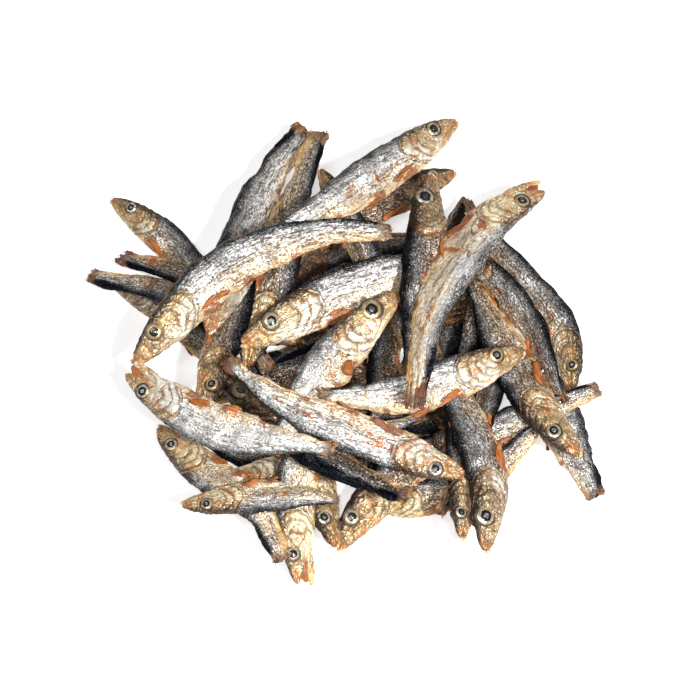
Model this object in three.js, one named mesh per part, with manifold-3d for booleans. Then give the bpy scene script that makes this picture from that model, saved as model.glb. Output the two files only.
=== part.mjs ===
// A loose pile of small dried fish, heaped as they fell, as one solid out to its uneven
// outline. Millimetres, +Z up, the origin on the table under the middle of the pile.
//
// Each fish is laid by the route of its back bone, snout first, on a survey sheet that
// stands square to a slanting line of sight. The fish are then put down one at a time,
// the lowest first, and each leans on the table or on the highest fish under it on
// either side of its balance point, bends a little over them and droops a little past
// them.
import * as THREE from 'three';
import { mergeVertices } from 'three/addons/utils/BufferGeometryUtils.js';
import Module from 'manifold-3d';

const wasm = await Module();
wasm.setup();

// ---- driving dimensions ----

const DEGREE = Math.PI / 180;
const SIGHT_ELEVATION = 68 * DEGREE; // slope of the line of sight above the table
const SIGHT_DISTANCE = 551; // from the eye to the middle of the sheet
const SHEET_MIDDLE = new THREE.Vector3(3.7, -6.5, 15); // the sheet's middle, above the table

const THICKNESS_TO_DEPTH = 0.44; // how thick a fish is, as a share of its depth
const KEEL = 0.22; // how much the section narrows from the back to the belly
const CONTACT = 0.7; // crossing fish press this close, as a share of their half sizes
const BALANCE = 0.43; // where a fish balances, as a share of its length from the snout
const ROUTE_STEPS = 24; // stations along a fish where it can touch another
const SETTLE_ROUNDS = 5; // times a fish's height and its place in plan are evened out
const STEEPEST = 0.24; // the most a fish leans along its length, as rise over run
const BEND = 0.0035; // how far a fish bends down over a support, per millimetre squared
const DROOP = 0.25; // the most its ends fall away from its balance, as rise over run

// Share of the length from the snout, then half depth and half thickness there as
// shares of the greatest: snout, mouth, eye, gill edge, shoulder, belly, vent, stalk
// of the tail, and the broken stub of the tail fin.
const BODY_STATIONS = [
  [0.0, 0.16, 0.2],
  [0.05, 0.44, 0.52],
  [0.13, 0.74, 0.84],
  [0.23, 0.95, 1.0],
  [0.38, 1.0, 0.98],
  [0.54, 0.92, 0.86],
  [0.7, 0.7, 0.64],
  [0.84, 0.43, 0.4],
  [0.94, 0.26, 0.24],
  [1.0, 0.36, 0.16],
];
const SECTION_SIDES = 8;

const CORE_RADIUS = [68, 60]; // the mound between the packed fish, in X and in Y
const CORE_HEIGHT = 20;
const CORE_CENTRE = [3, -6];
const CORE_RISE = 0.55; // how steeply its rim rises: less is steeper
const CORE_RINGS = 6;
const CORE_SIDES = 28;
const TABLE_BLOCK = [400, 400, 60]; // cuts everything off flat where the pile rests

// ---- the fish: depth, roll at head and at tail, route on the sheet ----
// Roll is the lean of the back from straight up: +90 lays it to the left of the way
// from snout to tail, -90 to the right.

// The packed middle of the pile, where every fish lies on the table.
const PACKED = [
  { name: 'core_west', depth: 16, roll: [-80, -80], route: [[20, -10], [-22, -7], [-57, -20]] },
  { name: 'core_north', depth: 14, roll: [-80, -80], route: [[-30, 34], [0, 22], [32, 4]] },
  { name: 'core_south', depth: 14, roll: [85, 85], route: [[40, -30], [8, -32], [-28, -38]] },
  { name: 'core_east', depth: 14, roll: [80, 80], route: [[52, 30], [39, 4], [24, -34]] },
  { name: 'shaded_north', depth: 16, roll: [-75, -75],
    route: [[-29, 14], [-12, 27], [6, 33], [36, 38]] },
  { name: 'shaded_northeast', depth: 13, roll: [30, 30], route: [[38, 51], [33, 38], [24, 6]] },
  { name: 'shaded_south', depth: 13, roll: [75, 75],
    route: [[46, -14], [28, -23], [4, -21], [-22, -20]] },
  { name: 'shaded_southwest', depth: 13, roll: [78, 78],
    route: [[16, -40], [-12, -36], [-36, -35.5], [-51, -29]] },
];

// The fish that lie round and over it, lowest first.
const FALLEN = [
  { name: 'east_tail', depth: 15.5, roll: [70, 70],
    route: [[58, 2], [67.5, -17], [74.5, -34], [82, -49]] },
  { name: 'southeast_tail', depth: 12, roll: [75, 75],
    route: [[28, -36], [58, -23], [83, -12.5]] },
  { name: 'shaded_west', depth: 12, roll: [70, 70], route: [[30, 16], [-6, 6], [-32, -7]] },
  { name: 'shaded_east', depth: 12, roll: [70, 70], route: [[38, 24], [31, 2], [24, -24]] },
  { name: 'shaded_middle', depth: 12, roll: [-75, -75],
    route: [[16, 26], [11.5, 0], [7, -28]] },
  { name: 'south_golden', depth: 13, roll: [70, 70],
    route: [[2, -50], [24, -49.5], [50, -38], [66, -21]] },
  { name: 'south_tail', depth: 10, roll: [60, 60], route: [[52, 6], [42, -30], [29.5, -55]] },
  { name: 'south_third_head', depth: 16, roll: [80, 80],
    route: [[-5, -66], [7.5, -50], [33, -27]] },
  { name: 'west_head', depth: 12.5, roll: [75, 75],
    route: [[-79, 50.3], [-62.5, 37.8], [-49.5, 22.8], [-26, -7]] },
  { name: 'west_silver', depth: 11, roll: [75, 75],
    route: [[-79, 23], [-60, 12], [-40, -6], [-20, -19]] },
  { name: 'west_jagged_tail', depth: 14, roll: [70, 70],
    route: [[-8, 6], [-50, 23], [-76, 31]] },
  { name: 'west_round_tail', depth: 15, roll: [70, 70],
    route: [[-16, 2], [-56, 18], [-87, 25]] },
  { name: 'south_second_head', depth: 14, roll: [70, 70],
    route: [[-5, -65.5], [-11, -45], [-14, -10]] },
  { name: 'west_steep', depth: 12, roll: [-62, -62],
    route: [[-22, -30], [-38, 0], [-28, 24], [-14, 34]] },
  { name: 'southwest_white', depth: 12, roll: [-80, -80],
    route: [[-44, -44], [-20, -39], [24, -22]] },
  { name: 'south_gaping', depth: 14, roll: [80, 80],
    route: [[-17.5, -78], [-18, -52], [-14, -12]] },
  { name: 'southwest_head', depth: 14, roll: [-85, -85],
    route: [[-64.3, -26], [-49.5, -39.5], [-31, -53], [-22.5, -70.5]] },
  { name: 'south_small_head', depth: 12, roll: [65, 65],
    route: [[37, -63], [37.5, -40], [34, -6]] },
  { name: 'south_speckled', depth: 15.5, roll: [70, 70],
    route: [[44.7, -67], [45.5, -42], [26, 4]] },
  { name: 'east_low_head', depth: 16, roll: [85, 80],
    route: [[76, -35.5], [60.5, -16], [38, 28]] },
  { name: 'east_purple', depth: 12, roll: [45, 45], route: [[34, 38], [60, 9], [71.5, -18]] },
  { name: 'east_long', depth: 13, roll: [-60, -60],
    route: [[74.5, -14], [71, 6], [56.5, 24.5], [38, 50]] },
  { name: 'dark_back', depth: 17, roll: [-60, -60],
    route: [[-44, -8], [-20, -27], [-0.5, -40.5], [19.5, -49]] },
  { name: 'west_olive', depth: 14, roll: [-75, -75],
    route: [[-49.5, -21], [-44, -3], [-38, 16], [-30, 48]] },
  { name: 'north_tail', depth: 17, roll: [72, 72],
    route: [[-48, 6], [-34.5, 38], [-27.5, 56], [-15, 74]] },
  { name: 'north_olive_tail', depth: 15, roll: [-80, -80],
    route: [[-34, -6], [-25, 24], [-19.5, 47], [-10, 73]] },
  { name: 'north_brown', depth: 14, roll: [-60, -60],
    route: [[34.5, 59.5], [5, 47], [-36, 30]] },
  { name: 'north_orange', depth: 12, roll: [50, 50], route: [[-10, 60.5], [0, 42], [22, -4]] },
  { name: 'north_head', depth: 16, roll: [-76, -76],
    route: [[35.2, 76.5], [5, 56], [-32, 33]] },
  { name: 'broad', depth: 17.5, roll: [70, 70], route: [[-36.5, 2.5], [0, 20], [40, 33]] },
  { name: 'golden_head', depth: 16.5, roll: [-78, -78],
    route: [[15.5, 19.5], [-8, -6], [-26, -34]] },
  { name: 'white_west', depth: 15, roll: [-110, -104],
    route: [[-75, -8], [-46, -25], [-5, -33.5]] },
  { name: 'southwest_small', depth: 12, roll: [-80, -80],
    route: [[-56, -52], [-25, -48.5], [-3.5, -50]] },
  { name: 'white_east', depth: 15.5, roll: [-72, -72],
    route: [[57.5, 0], [20, -14], [-10, -15.5]] },
  { name: 'orange_belly', depth: 14.5, roll: [98, 98],
    route: [[38.5, -42.5], [10, -31], [-25, -16], [-41, -3]] },
  { name: 'arched', depth: 16.5, roll: [70, 70],
    route: [[-72, -3.5], [-40.5, 27.5], [-10, 39], [14, 39.5]] },
  { name: 'big_eyed', depth: 16, roll: [-78, -72],
    route: [[26.3, 58.3], [24.5, 28], [19, -8]] },
  { name: 'open_mouthed', depth: 17, roll: [82, 62],
    route: [[65, 53], [52, 47], [40, 35], [27, 13], [21.5, -19]] },
];

// ---- laying the pile ----

/** The point at a height above the table that lies behind a point on the sheet. */
function behindSheet([across, up], height) {
  const eye = SHEET_MIDDLE.clone();
  eye.y -= SIGHT_DISTANCE * Math.cos(SIGHT_ELEVATION);
  eye.z += SIGHT_DISTANCE * Math.sin(SIGHT_ELEVATION);
  const onSheet = SHEET_MIDDLE.clone();
  onSheet.x += across;
  onSheet.y += up * Math.sin(SIGHT_ELEVATION);
  onSheet.z += up * Math.cos(SIGHT_ELEVATION);
  const share = (height - eye.z) / (onSheet.z - eye.z);
  return eye.lerp(onSheet, share);
}

/** Evenly spaced points on the smooth curve through a route's points. */
function smoothRoute(route, steps) {
  const flat = route.map(([across, up]) => new THREE.Vector3(across, up, 0));
  const curve = new THREE.CatmullRomCurve3(flat, false, 'centripetal');
  return curve.getSpacedPoints(steps).map((point) => [point.x, point.y]);
}

/** Half depth and half thickness of a fish at a share of its length. */
function halfSizes(depth, along) {
  const after = Math.max(1, BODY_STATIONS.findIndex(([place]) => place >= along));
  const [start, depthBefore, thickBefore] = BODY_STATIONS[after - 1];
  const [end, depthAfter, thickAfter] = BODY_STATIONS[after];
  const blend = (along - start) / (end - start);
  const half = depth / 2;
  return {
    deep: half * THREE.MathUtils.lerp(depthBefore, depthAfter, blend),
    thick: half * THICKNESS_TO_DEPTH * THREE.MathUtils.lerp(thickBefore, thickAfter, blend),
  };
}

/** Lean of the back at a share of the length, in radians. */
function rollAt([head, tail], along) {
  return DEGREE * THREE.MathUtils.lerp(head, tail, along);
}

/** Half height and half width of a fish's leaning section, as it lies. */
function lyingSizes(fish, along) {
  const { deep, thick } = halfSizes(fish.depth, along);
  const roll = rollAt(fish.roll, along);
  return {
    high: Math.hypot(deep * Math.cos(roll), thick * Math.sin(roll)),
    wide: Math.hypot(deep * Math.sin(roll), thick * Math.cos(roll)),
  };
}

/** Height at which a station rests on the table or on the stations laid before. */
function supportUnder(place, size, laid) {
  let height = size.high;
  for (const other of laid) {
    const reach = CONTACT * (size.wide + other.wide);
    const gap = Math.hypot(place.x - other.x, place.y - other.y) / reach;
    if (gap < 1) {
      const lift = CONTACT * (size.high + other.high) * Math.sqrt(1 - gap * gap);
      height = Math.max(height, other.z + lift);
    }
  }
  return height;
}

/** Rise per millimetre of a stick that lies on the supports to either side of its balance. */
function restingSlope(supports, spacing) {
  const last = supports.length - 1;
  const middle = BALANCE * last;
  let best = { level: -Infinity, slope: 0 };
  for (let head = 0; head < middle; head += 1) {
    for (let tail = Math.ceil(middle); tail <= last; tail += 1) {
      const slope = (supports[tail] - supports[head]) / (tail - head);
      const level = supports[head] + slope * (middle - head);
      if (level > best.level) {
        best = { level, slope };
      }
    }
  }
  return THREE.MathUtils.clamp(best.slope / spacing, -STEEPEST, STEEPEST);
}

/** Heights of a fish that leans by a slope and bends a little over its supports. */
function drapedHeights(supports, spacing, slope) {
  return supports.map((_, step) => supports.reduce((highest, support, other) => {
    const away = (step - other) * spacing;
    return Math.max(highest, support + slope * away - BEND * away * away);
  }, -Infinity));
}

/** Heights that fall away from the balance no more steeply than a dried fish droops. */
function heldUp(heights, spacing) {
  const held = [...heights];
  const middle = Math.round(BALANCE * (held.length - 1));
  for (let step = middle - 1; step >= 0; step -= 1) {
    held[step] = Math.max(held[step], held[step + 1] - DROOP * spacing);
  }
  for (let step = middle + 1; step < held.length; step += 1) {
    held[step] = Math.max(held[step], held[step - 1] - DROOP * spacing);
  }
  return held;
}

/** The fish's stations, settled on what was laid before it. */
function settle(fish, laid) {
  const sheet = smoothRoute(fish.route, ROUTE_STEPS);
  const sizes = sheet.map((_, step) => lyingSizes(fish, step / ROUTE_STEPS));
  let places = sheet.map((point) => behindSheet(point, fish.depth / 2));
  for (let round = 0; round < SETTLE_ROUNDS; round += 1) {
    const supports = places.map((place, step) => supportUnder(place, sizes[step], laid));
    const spacing = places[0].distanceTo(places[ROUTE_STEPS]) / ROUTE_STEPS;
    const slope = restingSlope(supports, spacing);
    const heights = heldUp(drapedHeights(supports, spacing, slope), spacing);
    places = sheet.map((point, step) => behindSheet(point, heights[step]));
  }
  return places.map((place, step) => ({ x: place.x, y: place.y, z: place.z, ...sizes[step] }));
}

// ---- shapes ----

/** One bent fish as rings of points, closed at the snout and at the tail. */
function fishGeometry(fish, stations) {
  const spine = new THREE.CatmullRomCurve3(stations.map(({ x, y, z }) => new THREE.Vector3(x, y, z)));
  const positions = [];
  for (const [along] of BODY_STATIONS) {
    const centre = spine.getPointAt(along);
    const forward = spine.getTangentAt(along);
    const side = new THREE.Vector3().crossVectors(forward, new THREE.Vector3(0, 0, 1)).normalize();
    const top = new THREE.Vector3().crossVectors(side, forward);
    const roll = rollAt(fish.roll, along);
    const back = top.multiplyScalar(Math.cos(roll)).addScaledVector(side, -Math.sin(roll));
    const flank = new THREE.Vector3().crossVectors(forward, back);
    const { deep, thick } = halfSizes(fish.depth, along);
    for (let turn = 0; turn < SECTION_SIDES; turn += 1) {
      const angle = (turn * 2 * Math.PI) / SECTION_SIDES;
      const point = centre.clone().addScaledVector(back, deep * Math.cos(angle));
      point.addScaledVector(flank, thick * Math.sin(angle) * (1 + KEEL * Math.cos(angle)));
      positions.push(point.x, point.y, point.z);
    }
  }
  const faces = [];
  const rings = BODY_STATIONS.length;
  for (let ring = 0; ring < rings - 1; ring += 1) {
    for (let turn = 0; turn < SECTION_SIDES; turn += 1) {
      const here = ring * SECTION_SIDES + turn;
      const beside = ring * SECTION_SIDES + ((turn + 1) % SECTION_SIDES);
      faces.push(here, beside, here + SECTION_SIDES);
      faces.push(beside, beside + SECTION_SIDES, here + SECTION_SIDES);
    }
  }
  const tail = (rings - 1) * SECTION_SIDES;
  for (let turn = 1; turn < SECTION_SIDES - 1; turn += 1) {
    faces.push(0, turn + 1, turn);
    faces.push(tail, tail + turn, tail + turn + 1);
  }
  const geometry = new THREE.BufferGeometry();
  geometry.setAttribute('position', new THREE.Float32BufferAttribute(positions, 3));
  geometry.setIndex(faces);
  return geometry;
}

/** The mound that fills up the packed middle, with a flat base on the table. */
function coreGeometry() {
  const outline = [new THREE.Vector2(0, 0)];
  for (let ring = 0; ring <= CORE_RINGS; ring += 1) {
    const out = Math.cos((ring * Math.PI) / (2 * CORE_RINGS));
    const rise = (1 - out * out) ** CORE_RISE;
    outline.push(new THREE.Vector2(ring === CORE_RINGS ? 0 : out, rise));
  }
  const geometry = new THREE.LatheGeometry(outline, CORE_SIDES);
  geometry.rotateX(Math.PI / 2);
  geometry.scale(CORE_RADIUS[0], CORE_RADIUS[1], CORE_HEIGHT);
  geometry.translate(CORE_CENTRE[0], CORE_CENTRE[1], 0);
  return geometry;
}

// ---- joining ----

/** A closed geometry as a solid that can be joined and cut. */
function solidOf(geometry) {
  const bare = geometry.clone();
  bare.deleteAttribute('normal');
  bare.deleteAttribute('uv');
  const merged = mergeVertices(bare, 1e-4);
  const mesh = new wasm.Mesh({
    numProp: 3,
    vertProperties: new Float32Array(merged.attributes.position.array),
    triVerts: new Uint32Array(merged.index.array),
  });
  mesh.merge();
  return new wasm.Manifold(mesh);
}

/** A solid's outer shell, without the hollows sealed inside it. */
function outerShell(solid) {
  const shells = solid.decompose();
  const solids = shells.filter((shell) => shell.volume() > 0);
  if (solids.length !== 1) {
    throw new Error(`the pile is in ${solids.length} pieces`);
  }
  return solids[0];
}

function geometryOf(solid) {
  const mesh = solid.getMesh();
  const geometry = new THREE.BufferGeometry();
  geometry.setAttribute('position', new THREE.BufferAttribute(mesh.vertProperties, 3));
  geometry.setIndex(new THREE.BufferAttribute(mesh.triVerts, 1));
  geometry.computeVertexNormals();
  return geometry;
}

function pileGeometry() {
  let pile = solidOf(coreGeometry());
  const laid = [];
  for (const fish of [...PACKED, ...FALLEN]) {
    const stations = settle(fish, PACKED.includes(fish) ? [] : laid);
    laid.push(...stations);
    pile = pile.add(solidOf(fishGeometry(fish, stations)));
  }
  const table = new THREE.BoxGeometry(...TABLE_BLOCK);
  table.translate(0, 0, -TABLE_BLOCK[2] / 2);
  return geometryOf(outerShell(pile.subtract(solidOf(table))));
}

const driedSkin = new THREE.MeshStandardMaterial({
  color: '#9c9284',
  roughness: 0.45,
  metalness: 0.25,
});

const part = new THREE.Group();
const pile = new THREE.Mesh(pileGeometry(), driedSkin);
pile.name = 'sprat_pile';
part.add(pile);

export default part;
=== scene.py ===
"""A loose heap of dried sprats: every fish its own bent, shrivelled mesh, laid as it fell."""

import functools
import math
from collections import namedtuple
from types import SimpleNamespace

import bpy
import numpy as np
from mathutils import Matrix, Vector


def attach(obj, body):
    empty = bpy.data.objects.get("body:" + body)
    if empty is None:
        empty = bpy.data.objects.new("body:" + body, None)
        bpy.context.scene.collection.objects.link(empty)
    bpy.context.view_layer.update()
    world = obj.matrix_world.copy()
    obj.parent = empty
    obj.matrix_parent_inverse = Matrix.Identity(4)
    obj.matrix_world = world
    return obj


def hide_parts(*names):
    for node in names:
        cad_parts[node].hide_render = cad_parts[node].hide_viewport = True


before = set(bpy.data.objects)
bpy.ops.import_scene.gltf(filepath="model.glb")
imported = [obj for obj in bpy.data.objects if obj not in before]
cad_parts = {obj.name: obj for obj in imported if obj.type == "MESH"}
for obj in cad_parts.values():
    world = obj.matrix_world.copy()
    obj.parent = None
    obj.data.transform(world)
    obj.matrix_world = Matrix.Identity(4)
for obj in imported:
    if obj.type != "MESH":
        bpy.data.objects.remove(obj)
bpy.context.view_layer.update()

bl_info = {
    "name": "Dried sprat heap",
    "version": (1, 0, 0),
    "blender": (4, 5, 0),
    "location": "3D View > Sidebar > Sprats",
    "description": "Models a heap of dried sprats fish by fish",
    "category": "Add Mesh",
}

NODE = "sprat_pile"
BODY = "root"
MM = 0.001

# ---- how the heap is laid, in millimetres, as in the solid it stands for ----

SIGHT_ELEVATION = math.radians(68)
SIGHT_DISTANCE = 551
SHEET_MIDDLE = Vector((3.7, -6.5, 15))  # of the sight sheet, square to the line of sight
TOWARD_VIEWER = Vector((0, -math.cos(SIGHT_ELEVATION), math.sin(SIGHT_ELEVATION)))
VIEWPOINT = SHEET_MIDDLE + SIGHT_DISTANCE * TOWARD_VIEWER

THICKNESS_TO_DEPTH = 0.44
CONTACT = 0.7  # share of the touching distance that crossing fish lie at
BALANCE = 0.43  # share of the length where a fish balances
ROUTE_STEPS = 24
SETTLE_ROUNDS = 5
STEEPEST = 0.24  # the most that a fish leans, in millimetres of rise along one of length
BEND = 0.0035  # fall a millimetre away from a support, growing with the square
DROOP = 0.25  # the most that a fish falls away, in millimetres along one of length
CURVE_STEPS = 200  # fine steps that a route's length is measured in

# Share of the length, then half depth and half thickness there, as shares of the greatest.
BODY_STATIONS = (
    (0.0, 0.16, 0.2),
    (0.05, 0.44, 0.52),
    (0.13, 0.74, 0.84),
    (0.23, 0.95, 1.0),
    (0.38, 1.0, 0.98),
    (0.54, 0.92, 0.86),
    (0.7, 0.7, 0.64),
    (0.84, 0.43, 0.4),
    (0.94, 0.26, 0.24),
    (1.0, 0.36, 0.16),
)

Fish = namedtuple(
    "Fish", "name depth roll route gold dark bled mouth tail eye",
    defaults=("shut", "stub", 1.0))

# The fish, lowest first: depth, roll in degrees (at head and tail where it twists), route
# on the sight sheet from snout to tail, and how golden, how dark and how bled its skin
# went; on the core and shaded fish the darkness is painted shade as well. Where they aren't
# as usual, then how its mouth and tail dried and how many times the usual size its eye is.
CORE = (
    # The core and shaded fish are darker than their skin as painted shade, for the shadowed gaps
    # between the fish above.
    Fish("core_west", 16, -80, ((20, -10), (-22, -7), (-57, -20)), 0.2, 1.3, 0.2),
    Fish("core_north", 14, -80, ((-30, 34), (0, 22), (32, 4)), 0.2, 1.3, 0.2),
    Fish("core_south", 14, 85, ((40, -30), (8, -32), (-28, -38)), 0.2, 1.3, 0.2),
    Fish("core_east", 14, 80, ((52, 30), (39, 4), (24, -34)), 0.2, 1.3, 0.2),
    Fish("shaded_north", 16, -75, ((-29, 14), (-12, 27), (6, 33), (36, 38)), 0.2, 1.5, 0.3),
    Fish("shaded_northeast", 13, 30, ((38, 51), (33, 38), (24, 6)), 0.2, 1.6, 0.3),
    Fish("shaded_south", 13, 75, ((46, -14), (28, -23), (4, -21), (-22, -20)), 0.2, 1.5, 0.3),
    Fish("shaded_southwest", 13, 78, ((16, -40), (-12, -36), (-36, -35.5), (-51, -29)),
         0.2, 1.3, 0.3),
)
LOWER = (
    Fish("east_tail", 15.5, 70, ((58, 2), (67.5, -17), (74.5, -34), (82, -49)),
         -0.5, 0.1, 0.3, tail="cut"),
    Fish("southeast_tail", 12, 75, ((28, -36), (58, -23), (83, -12.5)), 0.1, 0.1, 0.3, tail="cut"),
    # The shaded fish here are darkened as painted shade too.
    Fish("shaded_west", 12, 70, ((30, 16), (-6, 6), (-32, -7)), 0.3, 1.5, 0.3),
    Fish("shaded_east", 12, 70, ((38, 24), (31, 2), (24, -24)), 0.4, 1.4, 0.5),
    Fish("shaded_middle", 12, -75, ((16, 26), (11.5, 0), (7, -28)), 0.1, 1.3, 0.2),
    Fish("south_golden", 13, 70, ((2, -50), (24, -49.5), (50, -38), (66, -21)), 0.9, 0.3, 0.3),
    Fish("south_tail", 10, 60, ((52, 6), (42, -30), (29.5, -55)), 0.2, 0.4, 0.2, tail="cut"),
    Fish("south_third_head", 16, 80, ((-5, -66), (7.5, -50), (33, -27)), 0.9, 0.7, 0.3),
    Fish("west_head", 12.5, 75, ((-79, 50.3), (-62.5, 37.8), (-49.5, 22.8), (-26, -7)),
         0.3, 0.2, 0.2),
    Fish("west_silver", 11, 75, ((-79, 23), (-60, 12), (-40, -6), (-20, -19)), 0.1, 0.4, 0.1),
    Fish("west_jagged_tail", 14, 70, ((-8, 6), (-50, 23), (-76, 31)), 0.6, 0.4, 1.3, tail="fan"),
    Fish("west_round_tail", 15, 70, ((-16, 2), (-56, 18), (-87, 25)), 0.5, 0.1, 1.3, tail="cut"),
    Fish("south_second_head", 14, 70, ((-5, -65.5), (-11, -45), (-14, -10)), 0.8, 0.5, 0.3),
    Fish("west_steep", 12, -62, ((-22, -30), (-38, 0), (-28, 24), (-14, 34)), 0.2, 0.6, 0.1),
    Fish("southwest_white", 12, -80, ((-44, -44), (-20, -39), (24, -22)), 0.2, 0.0, 0.2),
    Fish("south_gaping", 14, 80, ((-17.5, -78), (-18, -52), (-14, -12)),
         1.0, -0.4, 0.4, mouth="gaping"),
    Fish("southwest_head", 14, -85,
         ((-64.3, -26), (-49.5, -39.5), (-31, -53), (-22.5, -70.5)), 1.0, -0.5, 0.7, tail="cut"),
    Fish("south_small_head", 12, 65, ((37, -63), (37.5, -40), (34, -6)), 1.0, 0.3, 0.4),
    Fish("south_speckled", 15.5, 70, ((44.7, -67), (45.5, -42), (26, 4)), 0.0, 0.35, 0.3, eye=1.25),
    Fish("east_low_head", 16, (85, 80), ((76, -35.5), (60.5, -16), (38, 28)), 0.8, 0.3, 0.7),
    Fish("east_purple", 12, 45, ((34, 38), (60, 9), (71.5, -18)), 0.0, 0.4, 0.3),
    Fish("east_long", 13, -60, ((74.5, -14), (71, 6), (56.5, 24.5), (38, 50)), 0.3, 0.2, 0.4),
)
UPPER = (
    Fish("dark_back", 17, -60, ((-44, -8), (-20, -27), (-0.5, -40.5), (19.5, -49)),
         0.4, 1.1, 0.3, tail="cut"),
    Fish("west_olive", 14, -75, ((-49.5, -21), (-44, -3), (-38, 16), (-30, 48)), 0.7, 0.6, 0.4),
    Fish("north_tail", 17, 72, ((-48, 6), (-34.5, 38), (-27.5, 56), (-15, 74)),
         -0.4, -0.1, 0.2, tail="fan"),
    Fish("north_olive_tail", 15, -80, ((-34, -6), (-25, 24), (-19.5, 47), (-10, 73)),
         0.9, 0.2, 0.4, tail="fan"),
    Fish("north_brown", 14, -60, ((34.5, 59.5), (5, 47), (-36, 30)), 1.0, 1.0, 0.4),
    Fish("north_orange", 12, 50, ((-10, 60.5), (0, 42), (22, -4)), 1.0, 0.4, 0.6),
    Fish("north_head", 16, -76, ((35.2, 76.5), (5, 56), (-32, 33)), 0.0, -0.4, 0.8),
    Fish("broad", 17.5, 70, ((-36.5, 2.5), (0, 20), (40, 33)), 0.0, -0.3, 0.3),
    Fish("golden_head", 16.5, -78, ((15.5, 19.5), (-8, -6), (-26, -34)), 0.2, -0.6, 0.5, eye=1.3),
    Fish("white_west", 15, (-110, -104), ((-75, -8), (-46, -25), (-5, -33.5)),
         -0.5, -0.6, 0.4, mouth="gaping"),
    Fish("southwest_small", 12, -80, ((-56, -52), (-25, -48.5), (-3.5, -50)), 0.6, -0.4, 0.6),
    Fish("white_east", 15.5, -72, ((57.5, 0), (20, -14), (-10, -15.5)), 0.1, -0.55, 0.5),
    Fish("orange_belly", 14.5, 98, ((38.5, -42.5), (10, -31), (-25, -16), (-41, -3)),
         -0.1, -0.5, 1.0),
    Fish("arched", 16.5, 70, ((-72, -3.5), (-40.5, 27.5), (-10, 39), (14, 39.5)),
         0.1, -0.1, 0.3, tail="blunt"),
    Fish("big_eyed", 16, (-78, -72), ((26.3, 58.3), (24.5, 28), (19, -8)), 0.5, 0.7, 0.5, eye=1.3),
    Fish("open_mouthed", 17, (82, 62),
         ((65, 53), (52, 47), (40, 35), (27, 13), (21.5, -19)), 0.9, -1.0, 1.0,
         mouth="wide", tail="cut"),
)
HEAP = CORE + LOWER + UPPER
SHADED = {fish.name for fish in HEAP if fish.name.startswith(("core", "shaded"))}
SHADED_LEVELS = 1  # of subdivision, on the fish that hardly show
SHOWN_LEVELS = 2
TABLE_GAP = 0.05  # height that the lowest skin is pressed flat at
SEEDS_A_FISH = 10
GRAIN_SPREAD = 500  # how far apart two fish may read the skin patterns, each way

# ---- one fish at rest: length along +X from the snout, back up, flanks to +Y and -Y ----

MODEL_LENGTH = 86 * MM
HALF_DEPTH = 7 * MM
HALF_THICKNESS = HALF_DEPTH * THICKNESS_TO_DEPTH
SECTION_POINTS = 24
KEEL = 0.2
HEAD_END = 0.28  # the head keeps its shape up to here, and the rest takes up the length

# Share of the length, then back, belly and flank as shares of the half sizes: lips,
# snout, eye, cheek, gill edge, shoulder, belly, vent, stalk of the tail and its stub.
BODY_RINGS = (
    (0.0, 0.06, 0.03, 0.10),
    (0.010, 0.18, 0.12, 0.22),
    (0.032, 0.33, 0.25, 0.38),
    (0.062, 0.47, 0.41, 0.54),
    (0.095, 0.59, 0.57, 0.66),
    (0.125, 0.68, 0.70, 0.76),
    (0.16, 0.77, 0.82, 0.86),
    (0.20, 0.81, 0.88, 0.94),
    (0.24, 0.88, 0.95, 1.02),
    (0.265, 0.92, 0.98, 1.05),
    (0.288, 0.95, 0.97, 0.97),
    (0.33, 0.98, 1.00, 0.98),
    (0.40, 1.00, 1.02, 0.98),
    (0.47, 0.98, 1.00, 0.94),
    (0.55, 0.91, 0.94, 0.86),
    (0.63, 0.81, 0.83, 0.76),
    (0.71, 0.67, 0.68, 0.64),
    (0.78, 0.54, 0.53, 0.52),
    (0.85, 0.41, 0.40, 0.40),
    (0.91, 0.31, 0.29, 0.30),
    (0.95, 0.27, 0.26, 0.22),
    (0.98, 0.26, 0.25, 0.14),
    (1.0, 0.24, 0.22, 0.06),
)

# The lower jaw from its hinge forward: share of the length, height of its middle, half
# height and half width, as shares of the half sizes.
JAW_RINGS = (
    (0.165, -0.46, 0.30, 0.54),
    (0.125, -0.40, 0.30, 0.54),
    (0.085, -0.32, 0.27, 0.48),
    (0.045, -0.21, 0.22, 0.38),
    (0.012, -0.10, 0.15, 0.25),
    (-0.008, -0.04, 0.08, 0.13),
)
JAW_POINTS = 12
JAW_HINGE = Vector((0.14 * MODEL_LENGTH, 0, -0.42 * HALF_DEPTH))

EYE_ALONG = 0.112
EYE_HEIGHT = 0.20
EYE_SINK = 0.5 * MM
SOCKET_RADIUS = 2.6 * MM
PUPIL_SHARE = 0.66
LENS_SHARE = 0.3

# Share of the length at a fin's root, how far out and how high that is in shares of the
# half sizes, the fin's length and width in millimetres, and its droop in degrees.
BREAST_FIN = (0.272, 0.80, -0.58, 11, 2.4, 6)
BELLY_FIN = (0.47, 0.28, -0.93, 6, 1.5, 4)
BACK_FIN = (0.50, 0, 0.88, 6, 1.6, 10)

# How a mouth dried, in shares of the gape.
MOUTHS = {"shut": 0.15, "gaping": 0.9, "wide": 0.7}

# How a tail dried: its rays, how far the outer ones splay, their length in shares of the
# ray length that all fish have, half the width of its end in shares of the half depth, and
# how much thicker than usual its stalk is.
TAILS = {
    "stub": (9, math.radians(7), 0.5, 0.38, 0.15),
    "blunt": (7, math.radians(2), 0.35, 0.34, 0.4),
    "cut": (9, math.radians(2), 0.3, 0.46, 0.75),
    "fan": (11, math.radians(8), 0.6, 0.58, 0.8),
}
WEB_FRAY_SEED, WEB_CURL_SEED, RAY_SEED = 5, 6, 7


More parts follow.
